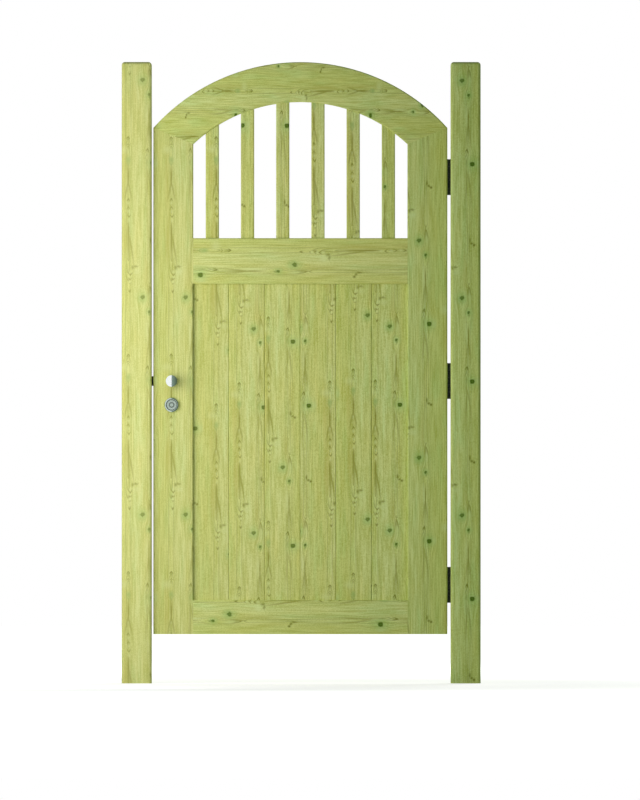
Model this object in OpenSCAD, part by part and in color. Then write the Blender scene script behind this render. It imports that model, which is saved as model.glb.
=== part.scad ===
// Arched garden gate of green treated pine, hung between two posts.
// Millimetres. +Z is up, +X is to the right of the front view, and the front faces -Y.
// The origin is midway between the posts, at their feet and at the middle of their depth.

/* [Opening] */
// Clear width between the posts
opening_w = 900; // [820:5:1000]
// Gap between the latch stile and its post
latch_gap = 5; // [4:0.5:7]
// Gap between the hinge stile and its post
hinge_gap = 10; // [9:0.5:13]
// Height of the leaf's underside above the feet of the posts
leaf_lift = 148; // [60:1:300]

/* [Posts] */
// Side of the square posts
post_w = 90; // [80:1:120]
// Radius of a post's long edges
post_edge_r = 9; // [2:0.5:10]
// Radius of the edges round a post's top
post_top_r = 10; // [2:0.5:12]

/* [Frame] */
// Height of the leaf at the crown of the arch, which is level with the post tops
leaf_h = 1722; // [1600:1:1900]
// Thickness of the frame
leaf_t = 45; // [40:1:60]
// Width of a stile
stile_w = 120; // [112:1:140]
// Depth of the arched head
head_w = 120; // [100:1:140]
// Rise of the arch above its outer springing
arch_rise = 198; // [150:1:230]
// Width of the bottom rail
bottom_rail_w = 102; // [80:1:150]
// Width of the middle rail
middle_rail_w = 138; // [100:1:160]
// Height of the panel between the two rails
panel_h = 952; // [850:1:1000]
// How far the frame's free edges are bevelled
arris_w = 3; // [1:0.5:5]

/* [Joinery] */
// Thickness of the rail tenons
tenon_t = 15; // [10:1:18]
// Length of the rail tenons
tenon_l = 60; // [30:1:80]
// Shoulder above and below a rail tenon
tenon_shoulder = 15; // [14:1:25]
// Depth of the grooves that hold the boards
groove_d = 12; // [8:0.5:13]
// Diameter of the dowels in the arch joints
dowel_d = 12; // [8:1:16]
// Length of those dowels
dowel_l = 100; // [60:1:110]

/* [Boards] */
// Thickness of a board
board_t = 20; // [16:1:24]
// Depth of the V at each joint
vee = 2; // [1:0.5:4]
// Length of a tongue
tongue_l = 6; // [4:0.5:8]
// Thickness of a tongue
tongue_t = 6; // [4:0.5:7]

/* [Balusters] */
// Width of a baluster
baluster_w = 40; // [30:1:50]
// Thickness of a baluster
baluster_t = 28; // [20:1:32]
// Gap between a stile and the nearest baluster
baluster_gap = 37.5; // [25:0.5:60]
// Radius of a baluster's long edges
baluster_edge_r = 4; // [1:0.5:8]
// Width of the stub tenons
stub_w = 28; // [16:1:29]
// Thickness of the stub tenons
stub_t = 14; // [8:1:18]
// Depth that the stub tenons are housed
stub_l = 20; // [10:1:30]

/* [Hinges] */
// Height of a hinge
hinge_h = 108; // [80:1:140]
// Distance of the outer hinges' centres from the stile's foot and from the arch's outer springing
hinge_in = 148; // [125:1:250]
// Depth of a hinge leaf, from the pin's axis to its front edge
hinge_leaf_w = 40; // [34:1:46]
// Thickness of a hinge leaf
hinge_leaf_t = 2.5; // [2:0.1:2.9]
// Diameter of a hinge pin
pin_d = 5; // [4:0.5:6]
// Distance of the pin's axis behind the leaf's back face
pin_back = 5; // [5:0.5:7]
// Length of a hinge screw
hinge_screw_l = 32; // [20:1:40]
// Diameter of a hinge screw's shank
hinge_screw_d = 4; // [3:0.5:4.5]

/* [Lock] */
// Height of the knob's axis above the leaf's underside
knob_h = 762; // [700:1:800]
// Distance from the knob's axis down to the cylinder's axis
lock_centres = 72; // [72:1:85]
// Distance from the edge of the stile to both axes
backset = 55; // [54:1:60]
// Height of the lock case
case_h = 165; // [160:1:175]
// Depth of the lock case, behind the forend
case_d = 80; // [78:1:84]
// Thickness of the lock case
case_t = 15; // [14:0.5:17]
// Distance that the latch bolt reaches out of the forend
latch_throw = 12; // [9:0.5:13]
// Height of the latch bolt
latch_h = 29; // [24:1:30]
// Angle through which the knob turns
knob_turn = 50; // [44:1:56]
// Distance that the dead bolt moves for one turn of the key
dead_throw = 20; // [14:1:20]
// Height of the dead bolt
dead_h = 26; // [20:1:28]
// Radius of the cam
cam_r = 15.5; // [14.5:0.5:16]

/* [Knob and cylinder] */
// Diameter of a knob
knob_d = 35; // [30:1:45]
// Distance that a knob stands out from the leaf
knob_out = 50; // [46:1:60]
// Diameter of a knob's neck
neck_d = 16; // [13:0.5:18]
// Thickness of the roses
rose_t = 4; // [3:0.5:5]
// Diameter of the knob roses
knob_rose_d = 35; // [34:1:44]
// Diameter of the cylinder's collar and of the rose behind it
collar_d = 45; // [42:1:54]
// Distance that the collar stands out from the leaf
collar_out = 9; // [7:0.5:12]
// Diameter of the cylinder's body
cylinder_d = 30; // [28:1:31]
// Diameter of the plug
plug_d = 15; // [12:0.5:16]

/* [Hidden] */
$fn = 96;

// Clearances
slip = 0.3;
running = 0.05;
snug = 0.15;
end_gap = 1;
cut = 1;

// The opening and the leaf
post_face = opening_w / 2;
leaf_x0 = -post_face + latch_gap;
leaf_x1 = post_face - hinge_gap;
leaf_w = leaf_x1 - leaf_x0;
leaf_cx = (leaf_x0 + leaf_x1) / 2;
leaf_top = leaf_lift + leaf_h;
leaf_half_t = leaf_t / 2;

// Heights of the rails
bottom_rail_top = leaf_lift + bottom_rail_w;
middle_rail_z = bottom_rail_top + panel_h;
middle_rail_top = middle_rail_z + middle_rail_w;

// The arch: two arcs about one centre, which cross the stiles' edges at the springing
half_w = leaf_w / 2;
inner_half = half_w - stile_w;
arch_r = (half_w * half_w + arch_rise * arch_rise) / (2 * arch_rise);
arch_z = leaf_top - arch_r;
inner_r = arch_r - head_w;
spring_out_z = leaf_top - arch_rise;
spring_in_z = arch_z + sqrt(inner_r * inner_r - inner_half * inner_half);
joint_angle = atan2(spring_out_z - spring_in_z, stile_w);

// The boards and balusters, which have a node each
board_n = 6;
baluster_n = 6;
board_pitch = 2 * inner_half / board_n;
board_end = groove_d - end_gap;
first_baluster = baluster_gap + baluster_w / 2 - inner_half;
baluster_pitch = -2 * first_baluster / (baluster_n - 1);

// The hinges
hinge_x = leaf_x1 + hinge_gap / 2;
hinge_y = leaf_half_t + pin_back;
low_hinge_z = leaf_lift + hinge_in;
high_hinge_z = spring_out_z - hinge_in;
hinge_zs = [low_hinge_z, (low_hinge_z + high_hinge_z) / 2, high_hinge_z];
knuckle_n = 5;
knuckle_h = hinge_h / knuckle_n;
barrel_r = hinge_gap / 2 - slip;
knuckle_notch = barrel_r + 2 * slip;
hinge_screw_end = 12;
hinge_screw_edge = 8;
hinge_screw_step = 14;
screw_slot = 1;

// The lock
knob_x = leaf_x0 + backset;
knob_z = leaf_lift + knob_h;
key_z = knob_z - lock_centres;
forend_t = 3;
forend_w = 22;
forend_h = 235;
forend_screw_in = 9;
case_wall = 1.5;
case_below = 40;
case_x0 = leaf_x0 + forend_t;
case_x1 = case_x0 + case_d;
case_z0 = key_z - case_below;
case_z = case_z0 + case_h / 2;
case_in = case_t / 2 - case_wall;
bolt_play = 0.5;
bolt_t = 2 * (case_in - bolt_play);
fixing_screw_d = 3.6;
fixing_screw_l = 25;

// The latch: a finger on the follower draws the bolt back by a lug that hangs from its tail
arm_r = latch_throw / (2 * sin(knob_turn / 2));
tip_r = 2.5;
finger_w = 3.4;
finger_play = 2;
finger_t = 2 * (case_in - finger_play);
hub_r = 9;
journal_r = 7;
spindle_side = 8;
latch_x0 = leaf_x0 - latch_throw;
latch_heel = 9;
latch_rear = case_x0 + case_wall + latch_heel;
latch_nose = 2;
tail_clear = 0.5;
tail_z = knob_z + arm_r + tip_r + tail_clear;
tail_h = 6;
lug_h = 5.7;
lug_w = 5;
lug_x = knob_x - arm_r * sin(knob_turn / 2) + tip_r + slip;
spring_r = 4.5;
spring_hole_r = 3;

// The dead bolt: the cam turns between two talons under the bolt
cam_clear = 1.5;
dead_z0 = key_z + cam_r + cam_clear;
dead_x0 = leaf_x0 + slip;
talon_dip = 2.5;
talon_w = 5;
cam_w = 8;
cam_hub_r = 8;
cam_journal_r = 6;
cam_play = 1.5;
cam_t = 2 * (case_in - cam_play);
talon_angle = acos((cam_r - talon_dip) / cam_r);
cam_half_angle = asin(cam_w / 2 / cam_r);
notch_half = cam_r * sin(talon_angle) - dead_throw * (talon_angle - cam_half_angle) / 360 + 2 * slip;
notch_x = knob_x + dead_throw / 2;
rod_side = 5;
rod_socket = 2;

// The strike and the keeps in the latch post
strike_t = 2;
strike_w = 24;
strike_over = 25;
keep_fit = 0.6;
keep_spare = 2.5;
keep_d = latch_throw - latch_gap + keep_spare;
dead_keep_d = dead_throw - latch_gap + keep_spare;
strike_z0 = dead_z0 - strike_over;
strike_z1 = knob_z + latch_h / 2 + strike_over;
strike_screw_in = 11;

// The furniture on the two faces
neck_room = 1.5;
neck_hole = neck_d + 2 * neck_room;
rose_screw_d = 3;
rose_screw_l = 15;
knob_screw_r = 13;
turn_screw_r = 16;
collar_step = 4;
collar_groove = 1.5;
collar_bevel = 3.5;
collar_crest = 2;
keyway_w = 1.8;
keyway_h = 6;
keyway_d = 18;
plug_boss_r = 3.6;
plug_groove_r = 6;
plug_groove_d = 1.5;
knob_neck_l = 13;
knob_back = rose_t + knob_neck_l;
knob_edge_r = 6;
knob_crown = 4;
grub_d = 5;
grub_along = 6;
grub_out = rose_t + grub_along;
spindle_in_knob = 20;
spindle_reach = leaf_half_t + rose_t + spindle_in_knob;
turn_flange_t = 5;
turn_flange_lip = 3;
turn_flange_r = neck_d / 2 + turn_flange_lip;
turn_grip_r = 16;
turn_grip_t = 7;
turn_grip_out = 22;

// Colours, as the photograph shows them
pine = "#b9c372";
pine_dark = "#a7b266";
black_steel = "#2b2d2c";
satin = "#c5cbc6";
zinc = "#a9adad";
brass = "#b99a4d";

// A rectangle with round corners, centred on the origin
module round_rect(w, d, r) {
    square([w - 2 * r, d], center = true);
    square([w, d - 2 * r], center = true);
    for (x = [-1, 1], y = [-1, 1])
        translate([x * (w / 2 - r), y * (d / 2 - r)]) circle(r);
}

// A box between two corners
module box(low, high) {
    translate(low) cube(high - low);
}

// A flat shape drawn in X and Z, given a thickness t about the middle of the leaf
module slab(t) {
    translate([0, t / 2, 0]) rotate([90, 0, 0]) linear_extrude(t) children();
}

// A cylinder along Y between two values of y
module y_rod(x, z, r, y0, y1) {
    translate([x, y1, z]) rotate([90, 0, 0]) cylinder(h = y1 - y0, r = r);
}

// A countersunk wood screw along -Z, with its head's flat face at the origin
module wood_screw(d, length) {
    difference() {
        union() {
            translate([0, 0, -d / 2]) cylinder(h = d / 2, r1 = d / 2, r2 = d);
            translate([0, 0, d / 2 - length]) cylinder(h = length - d, r = d / 2);
            translate([0, 0, -length]) cylinder(h = d / 2, r1 = d / 8, r2 = d / 2);
        }
        cube([screw_slot, 3 * d, 2 * screw_slot], center = true);
    }
}

// The room that such a screw needs: a countersink at the origin and a pilot hole
module screw_hole(d, length) {
    translate([0, 0, -d / 2]) cylinder(h = d / 2, r1 = d / 2, r2 = d);
    translate([0, 0, -length - end_gap]) cylinder(h = length + end_gap, r = d / 2);
}

module mirror_leaf() {
    translate([leaf_cx, 0, 0]) mirror([1, 0, 0]) translate([-leaf_cx, 0, 0]) children();
}

// What an eased edge loses, with the square edge at the origin and the timber below and to the left
module arris() {
    polygon([[-arris_w - cut, cut], [cut, cut], [cut, -arris_w - cut]]);
}

// The arrises of the front and back faces beside an upright edge; side is 1 where the timber ends at the right
module upright_arrises(x, side, z0, z1) {
    for (face = [0, 1])
        mirror([0, face, 0]) translate([x, leaf_half_t, z0]) mirror([side > 0 ? 0 : 1, 0, 0])
            linear_extrude(z1 - z0) arris();
}

// The same along the whole of a rail's edge; side is 1 where the timber ends at the top
module level_arrises(z, side) {
    for (face = [0, 1])
        mirror([0, face, 0]) translate([leaf_x0 + stile_w - cut, leaf_half_t, z])
            mirror([0, 0, side > 0 ? 0 : 1]) rotate([90, 0, 90])
                linear_extrude(2 * (inner_half + cut)) arris();
}

// The same round one of the head's arcs; side is 1 on its outer arc
module arc_arrises(r, side) {
    for (face = [0, 1])
        mirror([0, face, 0]) translate([leaf_cx, leaf_half_t, arch_z]) rotate([-90, 0, 0])
            rotate_extrude() translate([r, 0]) mirror([side > 0 ? 0 : 1, 0]) arris();
}

// Posts

module post(x) {
    translate([x, 0, 0])
        intersection() {
            linear_extrude(leaf_top) round_rect(post_w, post_w, post_edge_r);
            slab(2 * post_w) post_outline();
            rotate([0, 0, 90]) slab(2 * post_w) post_outline();
        }
}

// The side view of a post, whose top corners are round
module post_outline() {
    translate([-post_w / 2, 0]) square([post_w, leaf_top - post_top_r]);
    translate([-post_w / 2 + post_top_r, 0]) square([post_w - 2 * post_top_r, leaf_top]);
    for (x = [-1, 1])
        translate([x * (post_w / 2 - post_top_r), leaf_top - post_top_r]) circle(post_top_r);
}

module latch_post() {
    color(pine)
        difference() {
            post(-post_face - post_w / 2);
            strike_blank(snug);
            // The latch keep runs out through the back of the post
            box([-post_face - keep_d, -bolt_t / 2 - keep_fit, knob_z - latch_h / 2 - keep_fit],
                [-post_face + cut, post_w, knob_z + latch_h / 2 + keep_fit]);
            box([-post_face - dead_keep_d, -bolt_t / 2 - keep_fit, dead_z0 - keep_fit],
                [-post_face + cut, bolt_t / 2 + keep_fit, dead_z0 + dead_h + keep_fit]);
            at_strike_screws() screw_hole(fixing_screw_d, fixing_screw_l);
        }
}

module hinge_post() {
    color(pine_dark)
        difference() {
            post(post_face + post_w / 2);
            at_hinge_screws(post_face - hinge_leaf_t, 90) screw_hole(hinge_screw_d, hinge_screw_l);
        }
}

// Strike

module strike_blank(fit) {
    box([-post_face - strike_t, -strike_w / 2 - fit, strike_z0 - fit],
        [-post_face, strike_w / 2 + fit, strike_z1 + fit]);
}

module at_strike_screws() {
    for (z = [strike_z0 + strike_screw_in, strike_z1 - strike_screw_in])
        translate([-post_face, 0, z]) rotate([0, 90, 0]) children();
}

module strike_plate() {
    color(zinc)
        difference() {
            strike_blank(0);
            box([-post_face - strike_t - cut, -bolt_t / 2 - keep_fit, knob_z - latch_h / 2 - keep_fit],
                [-post_face + cut, strike_w, knob_z + latch_h / 2 + keep_fit]);
            box([-post_face - strike_t - cut, -bolt_t / 2 - keep_fit, dead_z0 - keep_fit],
                [-post_face + cut, bolt_t / 2 + keep_fit, dead_z0 + dead_h + keep_fit]);
            at_strike_screws() screw_hole(fixing_screw_d, fixing_screw_l);
        }
}

module strike_screws() {
    color(zinc) at_strike_screws() wood_screw(fixing_screw_d, fixing_screw_l);
}

// Hinges

// Each hinge's four screws, staggered in depth; turn is 90 towards the post and -90 towards the stile
module at_hinge_screws(x, turn) {
    for (z = hinge_zs, i = [0 : 3])
        translate([
            x,
            hinge_y - hinge_leaf_w + hinge_screw_edge + (i % 2) * hinge_screw_step,
            z - hinge_h / 2 + hinge_screw_end + i * (hinge_h - 2 * hinge_screw_end) / 3
        ]) rotate([0, -turn, 0]) children();
}

// One hinge leaf, with the knuckles whose number leaves the remainder odd when halved
module hinge_leaf(z, x0, odd) {
    difference() {
        union() {
            difference() {
                box([x0, hinge_y - hinge_leaf_w, z - hinge_h / 2],
                    [x0 + hinge_leaf_t, hinge_y, z + hinge_h / 2]);
                for (k = [0 : knuckle_n - 1])
                    if (k % 2 != odd)
                        box([x0 - cut, hinge_y - knuckle_notch, z - hinge_h / 2 + k * knuckle_h - snug],
                            [x0 + hinge_leaf_t + cut, hinge_y + cut,
                             z - hinge_h / 2 + (k + 1) * knuckle_h + snug]);
            }
            for (k = [0 : knuckle_n - 1])
                if (k % 2 == odd) {
                    below = k == 0 ? 0 : snug;
                    above = k == knuckle_n - 1 ? 0 : snug;
                    translate([hinge_x, hinge_y, z - hinge_h / 2 + k * knuckle_h + below])
                        cylinder(h = knuckle_h - below - above, r = barrel_r);
                }
        }
        translate([hinge_x, hinge_y, z - hinge_h])
            cylinder(h = 2 * hinge_h, r = pin_d / 2 + odd * running);
    }
}

module post_hinge_leaf(i) {
    color(black_steel)
        difference() {
            hinge_leaf(hinge_zs[i], post_face - hinge_leaf_t, 0);
            at_hinge_screws(post_face - hinge_leaf_t, 90) screw_hole(hinge_screw_d, hinge_screw_l);
        }
}

module gate_hinge_leaf(i) {
    color(black_steel)
        difference() {
            hinge_leaf(hinge_zs[i], leaf_x1, 1);
            at_hinge_screws(leaf_x1 + hinge_leaf_t, -90) screw_hole(hinge_screw_d, hinge_screw_l);
        }
}

module hinge_pin(i) {
    color(zinc)
        translate([hinge_x, hinge_y, hinge_zs[i] - hinge_h / 2]) cylinder(h = hinge_h, r = pin_d / 2);
}

module post_hinge_screws() {
    color(black_steel)
        at_hinge_screws(post_face - hinge_leaf_t, 90) wood_screw(hinge_screw_d, hinge_screw_l);
}

module gate_hinge_screws() {
    color(black_steel)
        at_hinge_screws(leaf_x1 + hinge_leaf_t, -90) wood_screw(hinge_screw_d, hinge_screw_l);
}

// Frame of the leaf

// A stile at the latch side: its top slants down from the outer springing to the inner one
module stile() {
    difference() {
        slab(leaf_t)
            polygon([
                [leaf_x0, leaf_lift],
                [leaf_x0 + stile_w, leaf_lift],
                [leaf_x0 + stile_w, spring_in_z],
                [leaf_x0, spring_out_z]
            ]);
        box([leaf_x0 + stile_w - groove_d, -board_t / 2 - snug, bottom_rail_top - groove_d],
            [leaf_x0 + stile_w + cut, board_t / 2 + snug, middle_rail_z + groove_d]);
        rail_mortise(leaf_lift, bottom_rail_w);
        rail_mortise(middle_rail_z, middle_rail_w);
        dowel_pair(end_gap);
        upright_arrises(leaf_x0, -1, leaf_lift - cut, leaf_top);
        upright_arrises(leaf_x0 + stile_w, 1, bottom_rail_top, middle_rail_z);
        upright_arrises(leaf_x0 + stile_w, 1, middle_rail_top, leaf_top);
    }
}

module rail_mortise(z, w) {
    box([leaf_x0 + stile_w - tenon_l - end_gap, -tenon_t / 2, z + tenon_shoulder],
        [leaf_x0 + stile_w + cut, tenon_t / 2, z + w - tenon_shoulder]);
}

// The two dowels of the latch side's arch joint, square to the joint; extra lengthens both ends
module dowel_pair(extra) {
    for (share = [1 / 3, 2 / 3])
        translate([leaf_x0 + share * stile_w, 0, spring_out_z + share * (spring_in_z - spring_out_z)])
            rotate([0, joint_angle, 0]) cylinder(h = dowel_l + 2 * extra, r = dowel_d / 2, center = true);
}

module latch_stile() {
    color(pine)
        difference() {
            stile();
            lock_pocket();
        }
}

// The mortise for the case, the rebate for the forend, and the holes through the faces
module lock_pocket() {
    box([case_x0 - cut, -case_t / 2 - snug, case_z0 - snug],
        [case_x1 + end_gap, case_t / 2 + snug, case_z0 + case_h + snug]);
    box([leaf_x0 - cut, -forend_w / 2 - snug, case_z - forend_h / 2 - snug],
        [case_x0, forend_w / 2 + snug, case_z + forend_h / 2 + snug]);
    y_rod(knob_x, knob_z, neck_hole / 2, -leaf_t, leaf_t);
    y_rod(knob_x, key_z, cylinder_d / 2 + snug, -leaf_t, 0);
    y_rod(knob_x, key_z, neck_hole / 2, 0, leaf_t);
    at_forend_screws() screw_hole(fixing_screw_d, fixing_screw_l);
    at_rose_screws() screw_hole(rose_screw_d, rose_screw_l);
}

module hinge_stile() {
    color(pine_dark)
        difference() {
            mirror_leaf() stile();
            at_hinge_screws(leaf_x1 + hinge_leaf_t, -90) screw_hole(hinge_screw_d, hinge_screw_l);
        }
}

module arched_head() {
    color(pine)
        difference() {
            slab(leaf_t)
                intersection() {
                    translate([leaf_cx, arch_z])
                        difference() {
                            circle(arch_r);
                            circle(inner_r);
                        }
                    polygon([
                        [leaf_x0, spring_out_z],
                        [leaf_x0 + stile_w, spring_in_z],
                        [leaf_x1 - stile_w, spring_in_z],
                        [leaf_x1, spring_out_z],
                        [leaf_x1, leaf_top + cut],
                        [leaf_x0, leaf_top + cut]
                    ]);
                }
            dowel_pair(end_gap);
            mirror_leaf() dowel_pair(end_gap);
            for (i = [0 : baluster_n - 1]) baluster_stub(i, end_gap);
            arc_arrises(arch_r, 1);
            arc_arrises(inner_r, -1);
        }
}

module head_dowels() {
    color(pine) {
        dowel_pair(0);
        mirror_leaf() dowel_pair(0);
    }
}

// A rail between the stiles, with a tenon at each end
module rail(z, w) {
    box([leaf_x0 + stile_w, -leaf_half_t, z], [leaf_x1 - stile_w, leaf_half_t, z + w]);
    box([leaf_x0 + stile_w - tenon_l, -tenon_t / 2, z + tenon_shoulder],
        [leaf_x1 - stile_w + tenon_l, tenon_t / 2, z + w - tenon_shoulder]);
}

// The groove for the boards along a rail, between two heights
module rail_groove(z0, z1) {
    box([leaf_x0 + stile_w - cut, -board_t / 2 - snug, z0],
        [leaf_x1 - stile_w + cut, board_t / 2 + snug, z1]);
}

module middle_rail() {
    color(pine)
        difference() {
            rail(middle_rail_z, middle_rail_w);
            rail_groove(middle_rail_z - cut, middle_rail_z + groove_d);
            for (i = [0 : baluster_n - 1]) baluster_stub(i, end_gap);
            level_arrises(middle_rail_z, -1);
            level_arrises(middle_rail_top, 1);
        }
}

module bottom_rail() {
    color(pine_dark)
        difference() {
            rail(leaf_lift, bottom_rail_w);
            rail_groove(bottom_rail_top - groove_d, bottom_rail_top + cut);
            level_arrises(bottom_rail_top, 1);
        }
}

// Boards

// The left edge of a board in section: bevelled and grooved, or plain where it enters the stile
function left_edge(x, plain) =
    let (h = board_t / 2, g = tongue_t / 2 + snug, d = tongue_l + 2 * snug)
    plain
        ? [[x, -h], [x, h]]
        : [[x + vee, -h], [x, vee - h], [x, -g], [x + d, -g], [x + d, g], [x, g], [x, h - vee], [x + vee, h]];

// The right edge of a board in section: bevelled and tongued, or plain where it enters the stile
function right_edge(x, plain) =
    let (h = board_t / 2, g = tongue_t / 2, d = tongue_l)
    plain
        ? [[x, h], [x, -h]]
        : [[x - vee, h], [x, h - vee], [x, g], [x + d, g], [x + d, -g], [x, -g], [x, vee - h], [x - vee, -h]];

module board(i) {
    first = i == 0;
    last = i == board_n - 1;
    x0 = leaf_x0 + stile_w + i * board_pitch + (first ? -board_end : snug);
    x1 = leaf_x0 + stile_w + (i + 1) * board_pitch + (last ? board_end : -snug);
    color(i % 2 == 0 ? pine : pine_dark)
        translate([0, 0, bottom_rail_top - board_end])
            linear_extrude(panel_h + 2 * board_end)
                polygon(concat(left_edge(x0, first), right_edge(x1, last)));
}

// Balusters

function baluster_x(i) = first_baluster + i * baluster_pitch;

// A stub tenon right through a baluster, from its housing in the rail to its housing in the head
module baluster_stub(i, extra) {
    x = baluster_x(i);
    top = arch_z + sqrt(inner_r * inner_r - x * x) + stub_l;
    box([leaf_cx + x - stub_w / 2, -stub_t / 2, middle_rail_top - stub_l - extra],
        [leaf_cx + x + stub_w / 2, stub_t / 2, top + extra]);
}

// The body is cut to the curve under the head
module baluster(i) {
    color(pine) {
        intersection() {
            translate([leaf_cx + baluster_x(i), 0, middle_rail_top])
                linear_extrude(inner_r) round_rect(baluster_w, baluster_t, baluster_edge_r);
            y_rod(leaf_cx, arch_z, inner_r - snug, -leaf_t, leaf_t);
        }
        baluster_stub(i, 0);
    }
}

// Lock case

module at_forend_screws() {
    for (side = [-1, 1])
        translate([leaf_x0, 0, case_z + side * (forend_h / 2 - forend_screw_in)])
            rotate([0, -90, 0]) children();
}

// The way through the front wall and the forend for both bolts
module bolt_ways() {
    for (span = [[knob_z - latch_h / 2, latch_h], [dead_z0, dead_h]])
        box([leaf_x0 - cut, -bolt_t / 2 - slip, span[0] - slip],
            [case_x0 + case_wall + cut, bolt_t / 2 + slip, span[0] + span[1] + slip]);
}

module lock_case() {
    color(zinc)
        difference() {
            box([case_x0, -case_t / 2, case_z0], [case_x1, case_in, case_z0 + case_h]);
            box([case_x0 + case_wall, -case_in, case_z0 + case_wall],
                [case_x1 - case_wall, case_t, case_z0 + case_h - case_wall]);
            bolt_ways();
            y_rod(knob_x, knob_z, journal_r + running, -case_t, 0);
            y_rod(knob_x, key_z, cylinder_d / 2, -case_t, 0);
        }
}

module lock_cover() {
    color(zinc)
        difference() {
            box([case_x0, case_in, case_z0], [case_x1, case_t / 2, case_z0 + case_h]);
            y_rod(knob_x, knob_z, journal_r + running, 0, case_t);
            y_rod(knob_x, key_z, cam_journal_r + running, 0, case_t);
        }
}

module lock_forend() {
    color(satin)
        difference() {
            box([leaf_x0, -forend_w / 2, case_z - forend_h / 2],
                [case_x0, forend_w / 2, case_z + forend_h / 2]);
            bolt_ways();
            at_forend_screws() screw_hole(fixing_screw_d, fixing_screw_l);
        }
}

module forend_screws() {
    color(zinc) at_forend_screws() wood_screw(fixing_screw_d, fixing_screw_l);
}

// Latch

// The hub that the spindle turns. Its finger leans towards the bolt at rest.
module follower() {
    color(zinc)
        difference() {
            union() {
                y_rod(knob_x, knob_z, hub_r, -case_in + snug, case_in - snug);
                y_rod(knob_x, knob_z, journal_r, -case_t / 2, case_t / 2);
                translate([knob_x, 0, knob_z]) rotate([0, -knob_turn / 2, 0]) {
                    box([-finger_w / 2, -finger_t / 2, 0], [finger_w / 2, finger_t / 2, arm_r]);
                    y_rod(0, arm_r, tip_r, -finger_t / 2, finger_t / 2);
                }
            }
            translate([knob_x, 0, knob_z]) cube([spindle_side, 2 * case_t, spindle_side], center = true);
        }
}

module latch_bolt() {
    color(black_steel) {
        translate([0, 0, knob_z - latch_h / 2])
            linear_extrude(latch_h)
                polygon([
                    [latch_x0, bolt_t / 2],
                    [latch_x0, bolt_t / 2 - latch_nose],
                    [latch_x0 + bolt_t - latch_nose, -bolt_t / 2],
                    [latch_rear, -bolt_t / 2],
                    [latch_rear, bolt_t / 2]
                ]);
        box([case_x0 + case_wall + slip, -bolt_t / 2, knob_z],
            [latch_rear, bolt_t / 2, tail_z + tail_h]);
        box([case_x0 + case_wall + slip, -bolt_t / 2, tail_z],
            [lug_x + lug_w, bolt_t / 2, tail_z + tail_h]);
        box([lug_x, -bolt_t / 2, tail_z - lug_h], [lug_x + lug_w, bolt_t / 2, tail_z + cut]);
    }
}

// The coils of the return spring as one sleeve between the lug and the back of the case
module latch_spring() {
    length = case_x1 - case_wall - lug_x - lug_w - snug;
    color(zinc)
        translate([lug_x + lug_w + snug, 0, tail_z + (tail_h - lug_h) / 2])
            rotate([0, 90, 0])
                difference() {
                    cylinder(h = length, r = spring_r);
                    translate([0, 0, -cut]) cylinder(h = length + 2 * cut, r = spring_hole_r);
                }
}

// Dead bolt and key

module dead_bolt() {
    rear = notch_x + notch_half + talon_w;
    color(brass) {
        box([dead_x0, -bolt_t / 2, dead_z0], [rear, bolt_t / 2, dead_z0 + dead_h]);
        for (x = [notch_x - notch_half - talon_w, notch_x + notch_half])
            box([x, -bolt_t / 2, key_z + cam_r - talon_dip], [x + talon_w, bolt_t / 2, dead_z0 + cut]);
    }
}

// The cam points straight down at rest
module lock_cam() {
    color(brass)
        difference() {
            union() {
                y_rod(knob_x, key_z, cam_hub_r, -cam_t / 2, cam_t / 2);
                y_rod(knob_x, key_z, cam_journal_r, 0, case_t / 2);
                intersection() {
                    y_rod(knob_x, key_z, cam_r, -cam_t / 2, cam_t / 2);
                    box([knob_x - cam_w / 2, -cam_t / 2, key_z - cam_r],
                        [knob_x + cam_w / 2, cam_t / 2, key_z]);
                }
            }
            translate([knob_x, 0, key_z]) cube([rod_side, 2 * case_t, rod_side], center = true);
        }
}

module cylinder_body() {
    color(satin)
        difference() {
            y_rod(knob_x, key_z, cylinder_d / 2, -leaf_half_t - collar_out, -case_in);
            y_rod(knob_x, key_z, plug_d / 2 + running, -leaf_t - collar_out, 0);
        }
}

// A bevelled ring round the cylinder, stepped inside so that a dark groove shows
module cylinder_collar() {
    step_r = cylinder_d / 2 + snug;
    groove_r = cylinder_d / 2 + collar_groove;
    color(satin)
        translate([knob_x, -leaf_half_t, key_z]) rotate([90, 0, 0])
            rotate_extrude()
                polygon([
                    [step_r, 0],
                    [collar_d / 2, 0],
                    [collar_d / 2, collar_out - collar_bevel],
                    [groove_r + collar_crest, collar_out],
                    [groove_r, collar_out],
                    [groove_r, collar_step],
                    [step_r, collar_step]
                ]);
}

module key_plug() {
    face = -leaf_half_t - collar_out + slip;
    color(satin)
        difference() {
            y_rod(knob_x, key_z, plug_d / 2, face, -case_in);
            box([knob_x - keyway_w / 2, face - cut, key_z - keyway_h / 2],
                [knob_x + keyway_w / 2, face + keyway_d, key_z + keyway_h / 2]);
            difference() {
                y_rod(knob_x, key_z, plug_groove_r, face - cut, face + plug_groove_d);
                y_rod(knob_x, key_z, plug_boss_r, face - 2 * cut, face + 2 * plug_groove_d);
            }
            box([knob_x - rod_side / 2, -case_in - rod_socket, key_z - rod_side / 2],
                [knob_x + rod_side / 2, 0, key_z + rod_side / 2]);
        }
}

// The square tail that joins the plug, the cam and the turn piece
module tail_rod() {
    color(zinc)
        box([knob_x - rod_side / 2, -case_in - rod_socket, key_z - rod_side / 2],
            [knob_x + rod_side / 2, leaf_half_t + rose_t, key_z + rod_side / 2]);
}

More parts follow.
